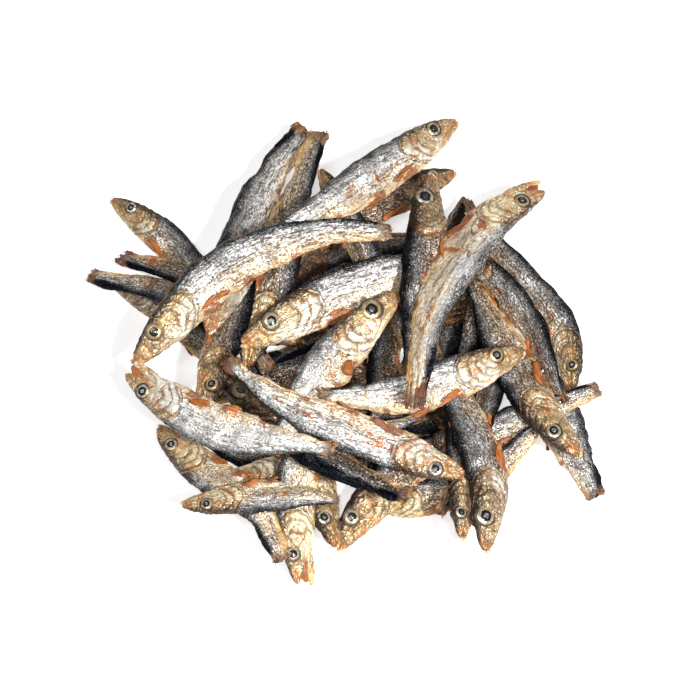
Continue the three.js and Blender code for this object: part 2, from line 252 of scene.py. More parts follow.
class SpratSizes(bpy.types.PropertyGroup):
    """Sizes that every fish of the heap shares."""

    eye_width: bpy.props.FloatProperty(
        name="Eye width", description="Across one eye", default=4.7 * MM, unit="LENGTH")
    gape: bpy.props.FloatProperty(
        name="Gape", description="How far a gaping jaw hangs open",
        default=math.radians(22), subtype="ANGLE")
    wrinkle: bpy.props.FloatProperty(
        name="Wrinkle depth", description="Depth of the creases that drying left",
        default=0.45 * MM, unit="LENGTH")
    ray_length: bpy.props.FloatProperty(
        name="Tail ray length", description="Length of the frayed rays left on the tail",
        default=4.0 * MM, unit="LENGTH")


class SpratColours(bpy.types.PropertyGroup):
    """Colours of the dried skin and of what the heap lies on."""

    silver: bpy.props.FloatVectorProperty(
        name="Silver", description="Bright flank", default=(0.96, 0.945, 0.905),
        subtype="COLOR", size=3)
    pewter: bpy.props.FloatVectorProperty(
        name="Pewter", description="Dull flank between the bright specks",
        default=(0.16, 0.15, 0.135), subtype="COLOR", size=3)
    back: bpy.props.FloatVectorProperty(
        name="Back", description="Blue-black back", default=(0.008, 0.0085, 0.011),
        subtype="COLOR", size=3)
    belly: bpy.props.FloatVectorProperty(
        name="Belly", description="Oily belly edge", default=(0.60, 0.33, 0.11),
        subtype="COLOR", size=3)
    bronze: bpy.props.FloatVectorProperty(
        name="Bronze", description="Head and gill cover", default=(0.62, 0.41, 0.17),
        subtype="COLOR", size=3)
    blood: bpy.props.FloatVectorProperty(
        name="Blood", description="Dried blood at the throat and the fins",
        default=(0.30, 0.09, 0.03), subtype="COLOR", size=3)
    floor: bpy.props.FloatVectorProperty(
        name="Floor", description="What the heap lies on", default=(0.68, 0.68, 0.68),
        subtype="COLOR", size=3)


# ---- laying the heap ----


def behind_sheet(point, height):
    """The point at a height above the table that lies behind a point on the sight sheet."""
    across, up = point
    on_sheet = SHEET_MIDDLE + Vector(
        (across, up * math.sin(SIGHT_ELEVATION), up * math.cos(SIGHT_ELEVATION)))
    return VIEWPOINT.lerp(on_sheet, (height - VIEWPOINT.z) / (on_sheet.z - VIEWPOINT.z))


def route_point(route, share):
    """A point of the smooth curve through a route's points, at a share of their count."""
    points = [Vector(point) for point in route]
    points = [2 * points[0] - points[1], *points, 2 * points[-1] - points[-2]]
    place = (len(route) - 1) * share
    start = min(int(place), len(route) - 2)
    weight = place - start
    before, here, there, after = points[start : start + 4]
    gap_in = (here - before).length_squared ** 0.25
    gap = (there - here).length_squared ** 0.25
    gap_out = (after - there).length_squared ** 0.25
    leave = (here - before) / gap_in - (there - before) / (gap_in + gap) + (there - here) / gap
    reach = (there - here) / gap - (after - here) / (gap + gap_out) + (after - there) / gap_out
    leave *= gap
    reach *= gap
    square = 3 * (there - here) - 2 * leave - reach
    cube = 2 * (here - there) + leave + reach
    return here + leave * weight + square * weight**2 + cube * weight**3


def smooth_route(route):
    """Evenly spaced points on the smooth curve through a route's points."""
    fine = [route_point(route, step / CURVE_STEPS) for step in range(CURVE_STEPS + 1)]
    lengths = np.cumsum([0.0] + [(b - a).length for a, b in zip(fine, fine[1:])])
    wanted = np.linspace(0, lengths[-1], ROUTE_STEPS + 1)
    shares = np.interp(wanted, lengths, np.linspace(0, 1, CURVE_STEPS + 1))
    return [route_point(route, share) for share in shares]


def roll_at(fish, along):
    """How far a fish is rolled over at a share of its length."""
    return math.radians(np.interp(along, (0, 1), np.broadcast_to(fish.roll, 2)))


def lying_sizes(fish, along):
    """Half height and half width of a fish's leaning section, as it lies."""
    places, depths, thicknesses = zip(*BODY_STATIONS)
    deep = fish.depth / 2 * np.interp(along, places, depths)
    thick = fish.depth / 2 * THICKNESS_TO_DEPTH * np.interp(along, places, thicknesses)
    roll = roll_at(fish, along)
    high = math.hypot(deep * math.cos(roll), thick * math.sin(roll))
    wide = math.hypot(deep * math.sin(roll), thick * math.cos(roll))
    return high, wide


def support_under(place, size, laid):
    """Height at which a station rests on the table or on the stations laid before."""
    high, wide = size
    if not len(laid):
        return high
    gaps = np.hypot(laid[:, 0] - place.x, laid[:, 1] - place.y) / (CONTACT * (laid[:, 4] + wide))
    lifts = CONTACT * (laid[:, 3] + high) * np.sqrt(np.maximum(0, 1 - gaps * gaps))
    return max(high, float(np.where(gaps < 1, laid[:, 2] + lifts, 0).max()))


def resting_slope(supports, spacing):
    """Rise per millimetre of a stick on the supports to either side of its balance."""
    last = len(supports) - 1
    middle = BALANCE * last
    best = (-math.inf, 0)
    for head in range(math.ceil(middle)):
        for tail in range(math.ceil(middle), last + 1):
            slope = (supports[tail] - supports[head]) / (tail - head)
            level = supports[head] + slope * (middle - head)
            if level > best[0]:
                best = (level, slope)
    return max(-STEEPEST, min(STEEPEST, best[1] / spacing))


def draped_heights(supports, spacing, slope):
    """Heights of a fish that leans by a slope and bends a little over its supports."""
    steps = np.arange(len(supports))
    away = (steps[:, None] - steps[None, :]) * spacing
    return (np.array(supports)[None, :] + slope * away - BEND * away * away).max(axis=1)


def held_up(heights, spacing):
    """Heights that fall away from the balance no more steeply than a dried fish droops."""
    middle = round(BALANCE * (len(heights) - 1))
    for step in range(middle - 1, -1, -1):
        heights[step] = max(heights[step], heights[step + 1] - DROOP * spacing)
    for step in range(middle + 1, len(heights)):
        heights[step] = max(heights[step], heights[step - 1] - DROOP * spacing)
    return heights


def settle(fish, laid):
    """A fish's stations, settled on what was laid before it: place, half height and width."""
    sheet = smooth_route(fish.route)
    sizes = [lying_sizes(fish, step / ROUTE_STEPS) for step in range(ROUTE_STEPS + 1)]
    places = [behind_sheet(point, fish.depth / 2) for point in sheet]
    for _ in range(SETTLE_ROUNDS):
        supports = [support_under(place, size, laid) for place, size in zip(places, sizes)]
        spacing = (places[-1] - places[0]).length / ROUTE_STEPS
        slope = resting_slope(supports, spacing)
        heights = held_up(draped_heights(supports, spacing, slope), spacing)
        places = [behind_sheet(point, height) for point, height in zip(sheet, heights)]
    return np.array([(*place, *size) for place, size in zip(places, sizes)])


@functools.cache
def settled_heap():
    """Every fish's stations by its name: the core lies packed on the table, the rest over it."""
    laid = np.empty((0, 5))
    stations = {}
    for fish in HEAP:
        stations[fish.name] = settle(fish, laid[:0] if fish in CORE else laid)
        laid = np.vstack([laid, stations[fish.name]])
    return stations


# ---- hand tools ----


def only(piece):
    """Makes a piece the one selected and active object."""
    bpy.ops.object.select_all(action="DESELECT")
    piece.select_set(True)
    bpy.context.view_layer.objects.active = piece


def place_applied(piece):
    """A piece with its place, turn and scale put into its mesh."""
    only(piece)
    bpy.ops.object.transform_apply(location=True, rotation=True, scale=True)
    return piece


def joined(pieces, name):
    """Pieces joined into the first one."""
    only(pieces[0])
    for piece in pieces:
        piece.select_set(True)
    bpy.ops.object.join()
    pieces[0].name = name
    pieces[0].data.name = name
    return pieces[0]


def coated(piece, finish):
    """A piece in one of the fish's finishes."""
    piece.data.materials.append(bpy.data.materials["sprat_" + finish])
    return piece


def modified(piece, kind, **settings):
    """A piece with one modifier set and applied."""
    only(piece)
    modifier = piece.modifiers.new(kind.title(), kind)
    for setting, value in settings.items():
        setattr(modifier, setting, value)
    bpy.ops.object.modifier_apply(modifier=modifier.name)
    return piece


def points_of(mesh, what="co"):
    """Places or normals of a mesh's points, one row each."""
    values = np.empty(len(mesh.vertices) * 3, np.float32)
    mesh.vertices.foreach_get(what, values)
    return values.reshape(-1, 3).astype(float)


def move_points(mesh, places):
    """Moves a mesh's points to new places, one row each."""
    mesh.vertices.foreach_set("co", places.astype(np.float32).ravel())
    mesh.update()


def keep(mesh, name, values):
    """Stores a vector for every point, for the materials to read."""
    layer = mesh.attributes.get(name) or mesh.attributes.new(name, "FLOAT_VECTOR", "POINT")
    layer.data.foreach_set("vector", values.astype(np.float32).ravel())


def lofted(name, rings, points):
    """A closed skin through upright ovals: x, height of the middle, half height, half width."""
    along, middle, high, wide = rings[0]
    bpy.ops.mesh.primitive_circle_add(
        vertices=points, radius=1, fill_type="NGON", rotation=(0, math.radians(90), 0))
    piece = place_applied(bpy.context.object)
    piece.name = name
    bpy.ops.object.mode_set(mode="EDIT")
    bpy.ops.mesh.select_all(action="SELECT")
    bpy.ops.transform.resize(value=(1, wide, high))
    bpy.ops.transform.translate(value=(along, 0, middle))
    for ring in rings[1:]:
        step = (ring[0] - along, 0, ring[1] - middle)
        bpy.ops.mesh.extrude_region_move(TRANSFORM_OT_translate={"value": step})
        shrink = (1, ring[3] / wide, ring[2] / high)
        along, middle, high, wide = ring
        bpy.ops.transform.resize(value=shrink, center_override=(along, 0, middle))
    bpy.ops.mesh.select_all(action="SELECT")
    bpy.ops.mesh.normals_make_consistent(inside=False)
    bpy.ops.object.mode_set(mode="OBJECT")
    return piece


def ball(name, place, size, segments=20):
    """A rounded lump of a size across each way, at a place."""
    bpy.ops.mesh.primitive_uv_sphere_add(segments=segments, ring_count=segments // 2, radius=0.5)
    piece = bpy.context.object
    piece.name = name
    piece.location = place
    piece.scale = size
    return place_applied(piece)


def ripples(places, wavelength, seed, waves=10):
    """Smooth uneven waves from about -1 to 1, with a new pattern for every seed."""
    dice = np.random.default_rng(seed)
    ways = dice.normal(size=(waves, 3))
    ways /= np.linalg.norm(ways, axis=1)[:, None]
    rates = math.tau / wavelength * dice.uniform(0.65, 1.5, waves)
    phases = dice.uniform(0, math.tau, waves)
    return np.sin(places @ (ways * rates[:, None]).T + phases).sum(axis=1) / math.sqrt(waves)


def eased(values, low, high):
    """0 below low, 1 above high and smooth between."""
    share = np.clip((values - low) / (high - low), 0, 1)
    return share * share * (3 - 2 * share)


def bump(values, middle, width):
    """1 at a middle value, falling smoothly to nothing about a width away."""
    return np.exp(-(((values - middle) / width) ** 2))


# ---- the fish ----

GILL_EDGE = 0.266  # share of the length where the gill cover ends, half way up


def gill_curve(height):
    """How much further back the gill cover's edge lies at a height on the flank."""
    return 0.018 + 0.012 * height - 0.068 * height**2


def body_shares(places):
    """Share of the length and height of each point, from -1 at the keel to 1 at the back."""
    along = places[:, 0] / MODEL_LENGTH
    stations, backs, bellies, _ = zip(*BODY_RINGS)
    back = HALF_DEPTH * np.interp(along, stations, backs)
    belly = HALF_DEPTH * np.interp(along, stations, bellies)
    return along, np.where(places[:, 2] > 0, places[:, 2] / back, places[:, 2] / belly)


def head_relief(along, height):
    """Millimetres that the gill covers stand out, and the cheeks, throat and lips sink in."""
    behind = along - GILL_EDGE - gill_curve(height)
    relief = -0.40 * eased(behind, -0.002, 0.006) * np.exp(-np.maximum(behind, 0) / 0.05)
    relief += 0.25 * bump(behind, -0.030, 0.022)
    relief -= 0.40 * bump(behind, -0.066, 0.006) * eased(0.75 - height, 0, 0.3)
    relief -= 0.30 * bump(behind, -0.098, 0.005) * eased(0.15 - height, 0, 0.3)
    throat = eased(-0.35 - height, 0, 0.25) * eased(along, 0.13, 0.17) * eased(-behind, 0, 0.02)
    relief -= 0.30 * throat * (0.5 + 0.5 * np.sin(height * 34 + along * 60))
    lip = height + 0.05 + (0.03 - along) * 3.2
    return relief - 0.40 * bump(lip, 0, 0.09) * eased(0.125 - along, 0, 0.02)


def flank_relief(along, height):
    """Millimetres that the emptied belly and a groove below the back sink in."""
    belly = eased(along, 0.30, 0.37) * eased(0.74 - along, 0, 0.2)
    groove = eased(along, 0.28, 0.34)
    return -0.75 * bump(height, -0.35, 0.30) * belly - 0.25 * bump(height, 0.42, 0.10) * groove


def eye_distances(places):
    """How far each point of a straight fish is from the middle of its eye, from the side."""
    return np.hypot(
        places[:, 0] - EYE_ALONG * MODEL_LENGTH, places[:, 2] - EYE_HEIGHT * HALF_DEPTH)


def socket_relief(places):
    """Millimetres that the eye socket sinks in, in a raised ring with a groove round it."""
    out = eye_distances(places) / SOCKET_RADIUS
    ring = 0.30 * bump(out, 1.25, 0.15) - 0.25 * bump(out, 1.65, 0.15)
    return ring - 0.5 * eased(1.0 - out, -0.1, 0.3)


def model_body(levels, stalk):
    """The body and the upper half of the head, with gill covers, cheeks and eye sockets."""
    rings = [
        (along * MODEL_LENGTH, (back - belly) / 2 * HALF_DEPTH, (back + belly) / 2 * HALF_DEPTH,
         flank * HALF_THICKNESS)
        for along, back, belly, flank in BODY_RINGS
    ]
    body = lofted("body", rings, SECTION_POINTS)
    modified(body, "SUBSURF", levels=levels, render_levels=levels)
    mesh = body.data
    places = points_of(mesh)
    along, height = body_shares(places)
    places[:, 1] *= 1 + KEEL * height
    places[:, 2] *= 1 + stalk * eased(along, 0.74, 0.94)
    move_points(mesh, places)

    normals = points_of(mesh, "normal")
    flank = eased(np.abs(normals[:, 1]), 0.15, 0.6)
    relief = head_relief(along, height) + flank_relief(along, height) + socket_relief(places)
    move_points(mesh, places + normals * (relief * flank * MM)[:, None])
    return body


def model_jaw(opening, levels):
    """The lower jaw, turned down about its hinge by an opening angle."""
    rings = [
        (along * MODEL_LENGTH, middle * HALF_DEPTH, high * HALF_DEPTH, wide * HALF_THICKNESS)
        for along, middle, high, wide in JAW_RINGS
    ]
    jaw = lofted("jaw", rings, JAW_POINTS)
    modified(jaw, "SUBSURF", levels=levels, render_levels=levels)
    turn = Matrix.Translation(JAW_HINGE) @ Matrix.Rotation(-opening, 4, "Y")
    jaw.data.transform(turn @ Matrix.Translation(-JAW_HINGE))
    return jaw


def model_gum(opening):
    """The dried skin that closes the corners of an open mouth."""
    place = (0.075 * MODEL_LENGTH, 0, -0.16 * HALF_DEPTH)
    gum = ball("gum", place, (0.135 * MODEL_LENGTH, 2.2 * MM, 0.6 * HALF_DEPTH), 16)
    turn = Matrix.Translation(JAW_HINGE) @ Matrix.Rotation(-opening / 2, 4, "Y")
    gum.data.transform(turn @ Matrix.Translation(-JAW_HINGE))
    return coated(gum, "fin")


def model_eye(side, width):
    """One eye: a silver ball with a black pupil in a raised rim of skin."""
    flank = np.interp(EYE_ALONG, *zip(*[(ring[0], ring[3]) for ring in BODY_RINGS]))
    out = flank * HALF_THICKNESS - EYE_SINK
    middle = Vector((EYE_ALONG * MODEL_LENGTH, side * out, EYE_HEIGHT * HALF_DEPTH))
    layers = (
        ("iris", 0.96, 0.26, 0.0, 20),
        ("pupil", PUPIL_SHARE, 0.12, 0.075, 16),
        ("lens", LENS_SHARE, 0.08, 0.115, 12),
    )
    eye = []
    for name, across, thick, raised, segments in layers:
        place = middle + Vector((0, side * width * raised, 0))
        layer = ball(name, place, (width * across, width * thick, width * across), segments)
        eye.append(coated(layer, name))
    bpy.ops.mesh.primitive_torus_add(
        location=middle + Vector((0, side * width * 0.02, 0)), rotation=(math.radians(90), 0, 0),
        major_segments=28, minor_segments=8, major_radius=width * 0.5, minor_radius=width * 0.07)
    return [coated(place_applied(bpy.context.object), "rim"), *eye]


def model_fin(side, along, out, up, length, width, droop):
    """A narrow folded fin that lies back along the flank from its root."""
    fin = ball("fin", (0, 0, 0), (length * MM, 0.5 * MM, width * MM), 14)
    places = points_of(fin.data)
    share = places[:, 0] / (length * MM) + 0.5
    places[:, 2] *= 0.35 + 0.9 * share
    places[:, 2] += 0.15 * width * MM * np.sin(share * 5)
    places[:, 0] += length * MM / 2
    move_points(fin.data, places)
    root = Vector((along * MODEL_LENGTH, side * out * HALF_THICKNESS, up * HALF_DEPTH))
    turn = Matrix.Rotation(math.radians(droop), 4, "Y")
    turn @= Matrix.Rotation(side * math.radians(5), 4, "Z")
    fin.data.transform(Matrix.Translation(root) @ turn)
    return coated(fin, "fin")


def model_fins():
    """Breast fins behind the gills, belly fins half way along, and a stub of back fin."""
    pairs = [model_fin(side, *fin) for side in (-1, 1) for fin in (BREAST_FIN, BELLY_FIN)]
    return [*pairs, model_fin(0, *BACK_FIN)]


def model_web(width, stalk):
    """The ragged skin that is left between the rays of the tail."""
    rings = [
        (0.90 * MODEL_LENGTH, 0, (1 + stalk) * 0.27 * HALF_DEPTH, 0.55 * MM),
        (0.93 * MODEL_LENGTH, 0, ((1 + stalk) * 0.2 + 0.25 * width) * HALF_DEPTH,
         0.48 * MM),
        (0.965 * MODEL_LENGTH, 0, (0.10 + 0.70 * width) * HALF_DEPTH, 0.36 * MM),
        (1.0 * MODEL_LENGTH, 0, width * HALF_DEPTH, 0.2 * MM),
    ]
    web = lofted("web", rings, 32)
    places = points_of(web.data)
    outer = eased(places[:, 0], 0.95 * MODEL_LENGTH, MODEL_LENGTH)
    rays = places / MM * np.array((0, 0, 1))
    places[:, 0] += outer * ripples(rays, 2.0, WEB_FRAY_SEED) * 1.2 * MM
    places[:, 0] -= outer * np.abs(places[:, 2] / (width * HALF_DEPTH)) ** 3 * 1.6 * MM
    places[:, 1] += outer * ripples(rays, 3.0, WEB_CURL_SEED) * 0.35 * MM
    move_points(web.data, places)
    return coated(web, "fin")


def model_tail(sizes, kind):
    """The frayed rays left on the tail, splayed into a fan where it dried open."""
    count, splay, reach, width, stalk = TAILS[kind]
    dice = np.random.default_rng(RAY_SEED)
    rays = [model_web(width, stalk)]
    for ray in range(count):
        spread = 2 * ray / (count - 1) - 1
        length = sizes.ray_length * reach * dice.uniform(0.5, 1.2)
        bpy.ops.mesh.primitive_cone_add(
            vertices=6, radius1=0.42 * MM, radius2=0.12 * MM, depth=length,
            location=(0, 0, length / 2), end_fill_type="NGON")
        cone = place_applied(bpy.context.object)
        lean = Matrix.Rotation(math.radians(90) - splay * spread, 4, "Y")
        root = Vector((MODEL_LENGTH * (1 - 0.03 * reach), dice.uniform(-0.2, 0.2) * MM,
                       spread * 0.8 * width * HALF_DEPTH))
        root.z *= 1 - 0.25 * reach
        cone.data.transform(Matrix.Translation(root) @ lean)
        rays.append(coated(cone, "fin"))
    return rays


@functools.cache
def model_fish(mouth, tail, eye, levels):
    """The mesh of a straight fish at rest, with its jaw shut or gaping."""
    sizes = bpy.context.scene.sprat_sizes
    opening = MOUTHS[mouth] * sizes.gape
    body = coated(model_body(levels, TAILS[tail][4]), "skin")
    jaw = coated(model_jaw(opening, levels), "skin")
    parts = [body, jaw, model_gum(opening), *model_fins(), *model_tail(sizes, tail)]
    for side in (-1, 1):
        parts += model_eye(side, sizes.eye_width * eye)
    whole = joined(parts, "sprat_model")
    bpy.ops.object.shade_smooth()
    mesh = whole.data
    bpy.data.objects.remove(whole)
    return mesh


def shrivel(mesh, seed, depth):
    """Lumps and lengthwise creases that drying left, and how deep in a crease each point is."""
    places = points_of(mesh)
    normals = points_of(mesh, "normal")
    along, height = body_shares(places)
    flesh = eased(along, 0.24, 0.33)
    skin = eased(eye_distances(places), 2.4 * MM, 3.4 * MM)
    stretched = places / MM * np.array((0.22, 1.0, 1.0))
    folds = 1 - np.abs(ripples(stretched, 3.4, seed))
    folds = np.clip(folds, 0, 1) ** 2
    fine = 1 - np.abs(ripples(places / MM * np.array((0.4, 1, 1)), 1.5, seed + 1))
    lumps = ripples(places / MM, 13, seed + 2)
    crumple = ripples(places / MM, 2.6, seed + 3)
    relief = -folds * flesh * 0.6 + 0.9 * lumps * (0.35 + 0.65 * flesh)
    relief -= 0.25 * np.clip(fine, 0, 1) ** 3 + 0.25 * crumple
    relief *= skin
    move_points(mesh, places + normals * (relief * depth)[:, None])
    crease = np.clip(folds * flesh * 0.8 + 0.6 * np.clip(fine, 0, 1) ** 3, 0, 1)
    return along, crease, height


def stretch(mesh, length, depth):
    """A fish drawn out to its own length and depth, with its head kept in shape."""
    places = points_of(mesh)
    scale = depth / (2 * HALF_DEPTH)
    head = HEAD_END * MODEL_LENGTH
    rest = (length - head * scale) / (MODEL_LENGTH - head)
    along = places[:, 0]
    places[:, 0] = np.where(along < head, along * scale, head * scale + (along - head) * rest)
    places[:, 1:] *= scale
    move_points(mesh, places)


def bend(piece, stations, fish):
    """Bends a straight fish along its settled back bone, rolled as it lies."""
    curve = bpy.data.curves.new("spine", "CURVE")
    curve.dimensions = "3D"
    curve.twist_mode = "Z_UP"
    spline = curve.splines.new("BEZIER")
    spline.bezier_points.add(len(stations) - 1)
    for step, (point, station) in enumerate(zip(spline.bezier_points, stations)):
        point.co = station[:3] * MM
        point.handle_left_type = point.handle_right_type = "AUTO"
        point.tilt = -roll_at(fish, step / ROUTE_STEPS)
    spine = bpy.data.objects.new("spine", curve)
    bpy.context.collection.objects.link(spine)
    modified(piece, "CURVE", object=spine, deform_axis="POS_X")
    bpy.data.objects.remove(spine)


def lay_fish(fish):
    """One fish of the heap, in its place."""
    stations = settled_heap()[fish.name]
    seed = SEEDS_A_FISH * [other.name for other in HEAP].index(fish.name)
    levels = SHADED_LEVELS if fish.name in SHADED else SHOWN_LEVELS
    mesh = model_fish(fish.mouth, fish.tail, fish.eye, levels).copy()
    piece = bpy.data.objects.new("sprat_" + fish.name, mesh)
    mesh.name = piece.name
    bpy.context.collection.objects.link(piece)
    along, crease, height = shrivel(mesh, seed, bpy.context.scene.sprat_sizes.wrinkle)
    keep(mesh, "place", np.stack([along, crease, height], axis=1))
    dice = np.random.default_rng(seed)
    keep(mesh, "grain", points_of(mesh) / MM + dice.uniform(-GRAIN_SPREAD, GRAIN_SPREAD, 3))
    tone = np.array((fish.gold, fish.dark, fish.bled))
    keep(mesh, "tone", np.tile(tone, (len(mesh.vertices), 1)))
    length = np.linalg.norm(np.diff(stations[:, :3], axis=0), axis=1).sum() * MM
    stretch(mesh, length, fish.depth * MM)
    bend(piece, stations, fish)
    places = points_of(mesh)
    places[:, 2] = np.maximum(places[:, 2], TABLE_GAP * MM)
    move_points(mesh, places)
    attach(piece, BODY)
    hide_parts(NODE)


def lay_all(group):
    """Lays every fish of a group, and gives what an operator returns when it is done."""
    for fish in group:
        lay_fish(fish)
    return {"FINISHED"}


# ---- finishes ----


class Signal:
    """A number from a shader socket, for use in plain arithmetic."""

    def __init__(self, shader, socket):
        self.shader = shader
        self.socket = socket

    def _with(self, operation, *others):
        values = {place: value for place, value in enumerate(others)}
        return self.shader.node("ShaderNodeMath", {"operation": operation}, values)

    def __add__(self, other):
        return self._with("ADD", self, other)

    def __sub__(self, other):
        return self._with("SUBTRACT", self, other)

    def __rsub__(self, other):
        return self._with("SUBTRACT", other, self)

    def __mul__(self, other):
        return self._with("MULTIPLY", self, other)

    def __pow__(self, other):
        return self._with("POWER", self, other)

    __radd__ = __add__
    __rmul__ = __mul__

    def sine(self):
        return self._with("SINE", self)

    def over(self, low, high):
        """0 below low, 1 above high and smooth between."""
        settings = {"interpolation_type": "SMOOTHSTEP"}
        values = {"Value": self, "From Min": low, "From Max": high}
        return self.shader.node("ShaderNodeMapRange", settings, values)


class Shader:
    """A material built up from nodes on one principled surface."""

    def __init__(self, name):
        self.material = bpy.data.materials.new(name)
        self.material.use_nodes = True
        self.nodes = self.material.node_tree.nodes
        self.links = self.material.node_tree.links
        self.surface = self.nodes["Principled BSDF"]

    def node(self, kind, settings, values, output=0):
        """A node with its settings made first, then its sockets set or linked."""
        node = self.nodes.new(kind)
        for setting, value in settings.items():
            setattr(node, setting, value)
        for socket, value in values.items():
            self.join(node.inputs[socket], value)
        return Signal(self, node.outputs[output])

    def join(self, socket, value):
        """Links a signal to a socket, or sets the socket to a plain value."""
        if isinstance(value, Signal):
            self.links.new(value.socket, socket)
        elif socket.type == "RGBA" and len(value) == 3:
            socket.default_value = (*value, 1)
        else:
            socket.default_value = value

    def attribute(self, name):
        """What was kept on the mesh under a name."""
        return self.node("ShaderNodeAttribute", {"attribute_name": name}, {}, "Vector")

    def split(self, vector):
        """The three numbers of a vector."""
        first = self.node("ShaderNodeSeparateXYZ", {}, {"Vector": vector})
        outputs = first.socket.node.outputs
        return [Signal(self, outputs[axis]) for axis in range(3)]

    def scaled(self, vector, scale):
        values = {0: vector, 1: scale}
        return self.node("ShaderNodeVectorMath", {"operation": "MULTIPLY"}, values)

    def noise(self, vector, scale, detail=2.0):
        values = {"Vector": vector, "Scale": scale, "Detail": detail}
        return self.node("ShaderNodeTexNoise", {}, values)

    def cells(self, vector, scale):
        values = {"Vector": vector, "Scale": scale}
        return self.node("ShaderNodeTexVoronoi", {}, values)

    def contours(self, vector, scale, width):
        """1 along thin wandering lines, where a noise crosses its middle."""
        away = self.noise(vector, scale, 0.0) - 0.5
        return 1 - (away * away).over(0.0, width * width)

    def blend(self, share, first, second):
        """A colour between two colours."""
        values = {0: share, 6: first, 7: second}
        return self.node("ShaderNodeMix", {"data_type": "RGBA"}, values, 2)

    def layered(self, colour, *layers):
        """A colour under layers, each given by its share and its colour."""
        for share, layer in layers:
            colour = self.blend(share, colour, layer)
        return colour

    def raised(self, height, distance):
        """A normal over a height in shares of a distance in metres."""
        values = {"Height": height, "Distance": distance}
        return self.node("ShaderNodeBump", {}, values)

    def finish(self, **values):
        """The material, with the surface's sockets set or linked by their names."""
        for socket, value in values.items():
            self.join(self.surface.inputs[socket.replace("_", " ").title()], value)
        return self.material


def near(value, middle, width):
    """1 at a middle value, falling smoothly to 0 a width away."""
    away = value - middle
    return 1 - (away * away).over(0.0, width * width)


def skin_patterns(skin):
    """The places, tones, specks and clouds that the skin's colours are worked out from."""
    on = SimpleNamespace()
    grain = skin.attribute("grain")
    on.along, on.crease, on.height = skin.split(skin.attribute("place"))
    # dark: how dark the skin went, and on the core and shaded fish also painted shade
    on.gold, on.dark, on.bled = skin.split(skin.attribute("tone"))

    on.fine = skin.noise(grain, 3.0, 1.0)
    on.pepper = skin.noise(skin.scaled(grain, (0.6, 1.0, 1.0)), 2.0, 1.0)
    on.brush = skin.noise(skin.scaled(grain, (0.12, 1.0, 1.0)), 2.0)
    on.mottle = skin.noise(skin.scaled(grain, (0.35, 1.0, 1.0)), 0.34)
    on.patch = skin.noise(grain, 0.42)
    on.cloud = skin.noise(grain, 0.16, 3.0)
    on.wrinkle = skin.contours(grain, 0.16, 0.018)
    on.seam = skin.contours(skin.scaled(grain, (0.16, 1.0, 1.0)), 0.24, 0.012)
    on.freckle = (on.pepper + on.dark * 0.05).over(0.51, 0.61)
    # painted highlight: near-white glints painted into the colour of flank and head
    on.glint = (1 - on.pepper).over(0.53, 0.62)

    on.behind = on.along - GILL_EDGE - gill_curve(on.height) + (on.patch - 0.5) * 0.014
    on.head = 1 - on.behind.over(-0.006, 0.002)
    plates = (on.behind * 170 + on.patch * 2.5 + on.cloud * 5).sine() * 0.5 + 0.5
    plates = plates * on.along.over(0.14, 0.19)
    on.plates = plates * plates * plates
    on.scale = skin.cells(skin.scaled(grain, (0.8, 1.0, 1.0)), 0.9) * (1 - on.head)
    shine = on.mottle * 0.5 + on.brush * 0.9 + on.pepper * 0.3 - on.scale * 0.1
    on.shine = (shine - on.height * 0.14 - on.dark * 0.22).over(0.62, 1.00)
    on.oil = (0.0 - on.height + (on.patch - 0.5) * 0.7).over(0.62, 0.92)
    edge = on.height + (on.cloud - 0.5) * 0.5 + (on.fine - 0.5) * 1.3 + (on.brush - 0.5) * 0.5
    on.edge = edge + on.dark.over(0.0, 1.5) * 0.375 - (0.0 - on.dark).over(0.0, 1.0) * 0.16
    on.back = on.edge.over(0.68, 0.98)
    on.tail = (on.along + (on.patch - 0.5) * 0.06).over(0.93, 0.975)
    return on


def flank_colour(skin, on, colours):
    """Silver specks on pewter, gilt where the skin went golden and painted glints, under streaks,
    freckles and painted shade in the creases.
    """
    dull = (on.height + (on.cloud - 0.5) * 0.8).over(-0.1, 0.5)
    warmth = on.cloud + on.patch * 0.3 + on.gold * 0.38 - on.height * 0.5 - 0.45
    gilt = skin.blend(on.shine, (0.30, 0.16, 0.06), (0.92, 0.68, 0.38))
    streak = (1 - on.brush).over(0.56, 0.68)
    return skin.layered(
        skin.blend(on.shine, colours.pewter, colours.silver),
        (dull * (0.38 + on.dark * 0.35), (0.36, 0.355, 0.35)),
        (warmth.over(0.08, 0.52) * 0.9, gilt),
        # painted highlight: near-white glints on the flank
        (on.glint * (0.78 - on.dark * 0.30), (0.99, 0.975, 0.94)),
        (streak * (0.38 + on.dark * 0.2), (0.09, 0.076, 0.058)),
        (on.freckle * (0.66 + on.dark * 0.2), (0.055, 0.04, 0.03)),
        (on.seam * (0.35 + on.bled * 0.4), (0.12, 0.05, 0.022)),
        # painted shade: darker deep in the creases that drying folded in
        (on.crease * on.crease * 0.6, (0.06, 0.03, 0.016)))


def belly_layers(skin, on, colours):
    """The oily belly edge, rusty stains, and dried blood below the flank."""
    belly = skin.blend(on.patch.over(0.40, 0.62), colours.belly, (0.80, 0.52, 0.22))
    stain = on.patch * 0.5 + on.cloud * 1.3 + on.bled * 0.22 + (on.pepper - 0.5) * 0.3
    stain = stain - on.height.over(0.1, 0.6) * 0.25 - on.along.over(0.35, 0.8) * 0.08
    blood = near(on.along, 0.30, 0.06) + near(on.along, 0.47, 0.04) + near(on.along, 0.66, 0.03)
    blood = blood * (0.0 - on.height).over(0.30, 0.9) * (0.4 + on.patch * 1.4)
    return (
        (on.oil * (0.45 + on.gold * 0.5), belly),
        ((stain - 1.18).over(0.0, 0.12) * 0.85, (0.46, 0.12, 0.025)),
        ((blood + (on.fine - 0.5) * 0.5).over(0.50, 1.0) * 0.85, colours.blood),
    )


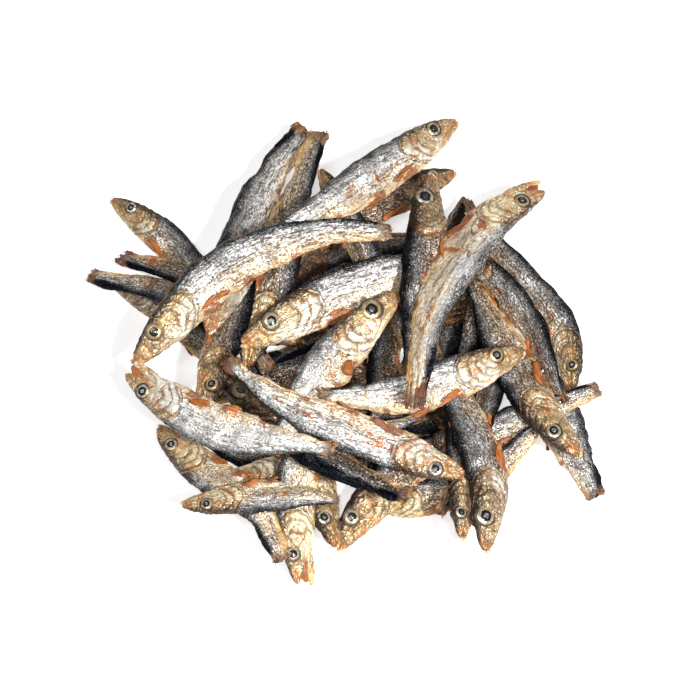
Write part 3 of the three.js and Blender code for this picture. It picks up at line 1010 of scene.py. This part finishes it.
def back_layers(skin, on, colours):
    """The steely upper flank and the blue-black back."""
    bright = (on.brush * 0.6 + on.fine * 0.5).over(0.50, 0.68)
    steel = skin.blend(bright, (0.026, 0.028, 0.033), (0.38, 0.375, 0.37))
    return ((on.edge.over(0.30, 0.84) * 0.85, steel), (on.back, colours.back))


def face_colour(skin, on, colours):
    """A mottled bronze head, pale in patches, with painted highlights on the gill covers and in
    glints, a dark crown, brown lips and wrinkles, and painted shade in the creases.
    """
    bronze = skin.blend(on.gold + 0.9 - on.dark * 1.2, (0.36, 0.31, 0.24), colours.bronze)
    mottled = (on.patch * 0.7 + on.pepper * 0.8 - 0.25).over(0.30, 0.66)
    pale = skin.blend(on.gold + 0.3, (0.95, 0.90, 0.80), (0.98, 0.80, 0.47))
    # painted highlight: the gill covers are paled round their middle, on top of the pale patches of
    # the skin
    cover = near(on.behind, -0.04, 0.045) * near(on.height, -0.15, 0.6)
    bright = cover * 0.3 + on.cloud * 0.7 + on.pepper * 0.4 - on.dark * 0.2 - on.height * 0.2
    bright = (bright + on.gold * 0.06 - 0.06).over(0.50, 0.78)
    rusty = (on.patch + on.cloud * 0.6 + on.bled * 0.15 - 0.93).over(0.0, 0.1)
    crown = on.height + (on.patch - 0.5) * 0.6 + (on.pepper - 0.5) * 0.8 + on.dark * 0.2
    lips = (0.06 - on.along + (on.patch - 0.5) * 0.04).over(0.0, 0.05)
    return skin.layered(
        skin.blend(mottled, (0.17, 0.085, 0.03), bronze),
        (bright * on.along.over(0.07, 0.17), pale),
        # painted highlight: pale gold glints on the head
        (on.glint * (0.55 - on.dark * 0.3), (0.99, 0.92, 0.74)),
        (on.freckle * (0.36 + on.dark * 0.4), (0.08, 0.036, 0.013)),
        (rusty * 0.7, (0.50, 0.17, 0.04)),
        (crown.over(0.42, 0.82) * 0.9, (0.035, 0.027, 0.022)),
        (lips * 0.55, (0.38, 0.15, 0.04)),
        # painted shade: darker deep in the creases that drying folded in
        (on.crease * on.crease * 0.6, (0.06, 0.03, 0.015)),
        (on.plates * 0.6, (0.11, 0.045, 0.018)),
        (on.wrinkle * 0.45, (0.09, 0.04, 0.016)))


def skin_material(colours):
    """Silver flanks, a blue-black back, an oily golden belly and a bronze head."""
    skin = Shader("sprat_skin")
    on = skin_patterns(skin)
    # painted shade: a dark line just behind the gill cover's edge, where its groove lies in shadow
    painted_gill_shade = near(on.behind, 0.002, 0.005) * on.patch.over(0.35, 0.6)
    colour = skin.layered(
        flank_colour(skin, on, colours),
        *belly_layers(skin, on, colours),
        *back_layers(skin, on, colours),
        (on.head, face_colour(skin, on, colours)),
        (painted_gill_shade * 0.8, (0.05, 0.03, 0.018)),
        (on.tail * 0.85, (0.13, 0.075, 0.045)))

    rough = 0.36 - on.shine * 0.12 + on.freckle * 0.1 + on.crease * 0.15
    metal = 0.48 + on.dark * 0.12 - on.head * 0.1 + on.back * 0.4
    metal = metal * (1 - on.oil * 0.5) * (1 - on.tail)
    relief = on.pepper * 0.5 + on.brush * 0.6 + on.scale * 0.3 + on.mottle * 0.3 + on.patch * 0.3
    relief = relief - on.plates * on.head * 0.5 - on.wrinkle * on.head * 0.3 - on.seam * 0.3
    normal = skin.raised(relief, 0.6 * MM)
    return skin.finish(base_color=colour, roughness=rough, metallic=metal, normal=normal)


def fin_material():
    """Dry orange-brown rays with dark membrane between them."""
    fin = Shader("sprat_fin")
    grain = fin.attribute("grain")
    ray = fin.noise(fin.scaled(grain, (0.12, 1.0, 2.2)), 1.4)
    patch = fin.noise(grain, 0.5)
    along = fin.split(fin.attribute("place"))[0]
    bled = fin.split(fin.attribute("tone"))[2]
    colour = fin.layered(
        fin.blend((0.88 - along).over(0.0, 0.05), (0.34, 0.17, 0.07), (0.47, 0.135, 0.022)),
        (1 - ray.over(0.30, 0.55), (0.12, 0.045, 0.018)),
        (patch.over(0.50, 0.65) * 0.4, (0.26, 0.13, 0.07)),
        ((bled - 0.6).over(0.0, 0.5) * 0.75, (0.16, 0.045, 0.028)))
    normal = fin.raised(ray, 0.4 * MM)
    return fin.finish(base_color=colour, roughness=ray * 0.2 + 0.35, normal=normal)


def rim_material():
    """The dark, dried ring of skin round the eye."""
    rim = Shader("sprat_rim")
    cloud = rim.noise(rim.attribute("grain"), 0.8)
    colour = rim.blend(cloud.over(0.4, 0.6), (0.02, 0.014, 0.01), (0.09, 0.06, 0.035))
    return rim.finish(base_color=colour, roughness=cloud * 0.2 + 0.35)


def iris_material():
    """The dull silver ball of the eye, darkened with painted shade on the darkest fish, deep in the
    heap.
    """
    iris = Shader("sprat_iris")
    grain = iris.attribute("grain")
    cloud = iris.noise(grain, 0.9, 3.0)
    own = iris.noise(grain, 0.03, 0.0)
    dark = iris.split(iris.attribute("tone"))[1]
    colour = iris.layered(
        iris.blend(cloud.over(0.35, 0.65), (0.26, 0.23, 0.18), (0.78, 0.75, 0.66)),
        (own.over(0.42, 0.62) * 0.85, (0.50, 0.33, 0.12)),
        # painted shade: the eyes of the fish deep in the heap go dark
        ((dark - 0.9).over(0.0, 0.35) * 0.9, (0.05, 0.035, 0.02)))
    return iris.finish(base_color=colour, roughness=cloud * 0.3 + 0.15, metallic=0.5)


def pupil_material():
    """The black pupil, clouded grey in the middle by drying."""
    pupil = Shader("sprat_pupil")
    cloud = pupil.noise(pupil.attribute("grain"), 1.1)
    colour = pupil.blend(cloud.over(0.5, 0.7), (0.010, 0.010, 0.011), (0.035, 0.035, 0.036))
    return pupil.finish(base_color=colour, roughness=cloud * 0.1 + 0.08)


def lens_material():
    """The lens, dried to a grey bead in the pupil."""
    lens = Shader("sprat_lens")
    grain = lens.attribute("grain")
    cloud = lens.noise(grain, 1.4)
    own = lens.noise(grain, 0.035, 0.0)
    colour = lens.blend(
        cloud.over(0.4, 0.6) * own.over(0.40, 0.55), (0.03, 0.031, 0.033), (0.34, 0.34, 0.34))
    return lens.finish(base_color=colour, roughness=cloud * 0.1 + 0.1)


def floor_material(colours):
    """The plain pale floor, which glows a little so that it stays pale."""
    floor = Shader("stage_floor")
    grain = floor.node("ShaderNodeTexCoord", {}, {}, "Object")
    cloud = floor.noise(grain, 40.0)
    return floor.finish(
        base_color=colours.floor, roughness=cloud * 0.1 + 0.6,
        emission_color=(1, 1, 1), emission_strength=FLOOR_GLOW)


class SPRATS_OT_finishes(bpy.types.Operator):
    """Makes the materials of the fish"""

    bl_idname = "sprats.finishes"
    bl_label = "Finishes"

    def execute(self, context):
        skin_material(context.scene.sprat_colours)
        fin_material()
        rim_material()
        iris_material()
        pupil_material()
        lens_material()
        return {"FINISHED"}


class SPRATS_OT_core(bpy.types.Operator):
    """Lays the hidden fish in the middle of the heap"""

    bl_idname = "sprats.core"
    bl_label = "Core"

    def execute(self, context):
        return lay_all(CORE)


class SPRATS_OT_lower(bpy.types.Operator):
    """Lays the fish round the foot of the heap"""

    bl_idname = "sprats.lower"
    bl_label = "Lower fish"

    def execute(self, context):
        return lay_all(LOWER)


class SPRATS_OT_upper(bpy.types.Operator):
    """Lays the fish on top of the heap"""

    bl_idname = "sprats.upper"
    bl_label = "Upper fish"

    def execute(self, context):
        return lay_all(UPPER)


# ---- the stage ----

FLOOR_WIDTH = 4.0
LENS_MM = 85
NEAREST = 0.01
KEY_PLACE = Vector((0.85, -0.85, 1.85))
KEY_WIDTH = 0.25
KEY_POWER = 60
PANEL_PLACE = Vector((-0.15, -0.40, 1.4))
PANEL_WIDTH = 0.6
PANEL_POWER = 11
FILL_STRENGTH = 0.06
FLOOR_GLOW = 0.55


def studio_light(name, place, width, power):
    """A square lamp that faces the heap."""
    bpy.ops.object.light_add(type="AREA", location=place)
    lamp = bpy.context.object
    lamp.name = name
    lamp.data.size = width
    lamp.data.energy = power
    lamp.rotation_euler = place.to_track_quat("Z", "Y").to_euler()


class SPRATS_OT_stage(bpy.types.Operator):
    """Sets the floor, the lights and the camera"""

    bl_idname = "sprats.stage"
    bl_label = "Stage"

    def execute(self, context):
        bpy.ops.mesh.primitive_plane_add(size=FLOOR_WIDTH)
        floor = context.object
        floor.name = "stage_floor_plane"
        floor.data.materials.append(floor_material(context.scene.sprat_colours))

        studio_light("key", KEY_PLACE, KEY_WIDTH, KEY_POWER)
        studio_light("panel", PANEL_PLACE, PANEL_WIDTH, PANEL_POWER)

        world = bpy.data.worlds.new("studio")
        world.use_nodes = True
        world.node_tree.nodes["Background"].inputs["Color"].default_value = (1, 1, 1, 1)
        world.node_tree.nodes["Background"].inputs["Strength"].default_value = FILL_STRENGTH
        context.scene.world = world
        context.scene.view_settings.view_transform = "Standard"

        level = math.radians(90)
        bpy.ops.object.camera_add(
            location=VIEWPOINT * MM, rotation=(level - SIGHT_ELEVATION, 0, 0))
        camera = context.object
        camera.data.lens = LENS_MM
        camera.data.clip_start = NEAREST
        context.scene.camera = camera
        return {"FINISHED"}


class SPRATS_PT_panel(bpy.types.Panel):
    """Lists the sizes, the colours and the steps of the heap"""

    bl_idname = "SPRATS_PT_panel"
    bl_label = "Dried sprats"
    bl_space_type = "VIEW_3D"
    bl_region_type = "UI"
    bl_category = "Sprats"

    def draw(self, context):
        for group in (context.scene.sprat_sizes, context.scene.sprat_colours):
            for name in group.__annotations__:
                self.layout.prop(group, name)
        for operator in OPERATORS:
            self.layout.operator(operator.bl_idname)


OPERATORS = (
    SPRATS_OT_finishes,
    SPRATS_OT_core,
    SPRATS_OT_lower,
    SPRATS_OT_upper,
    SPRATS_OT_stage,
)
CLASSES = (SpratSizes, SpratColours, *OPERATORS, SPRATS_PT_panel)


def register():
    for cls in CLASSES:
        bpy.utils.register_class(cls)
    bpy.types.Scene.sprat_sizes = bpy.props.PointerProperty(type=SpratSizes)
    bpy.types.Scene.sprat_colours = bpy.props.PointerProperty(type=SpratColours)


def unregister():
    del bpy.types.Scene.sprat_colours
    del bpy.types.Scene.sprat_sizes
    for cls in reversed(CLASSES):
        bpy.utils.unregister_class(cls)


def main():
    register()
    bpy.ops.sprats.finishes()
    bpy.ops.sprats.core()
    bpy.ops.sprats.lower()
    bpy.ops.sprats.upper()
    bpy.ops.sprats.stage()


if __name__ == "__main__":
    main()
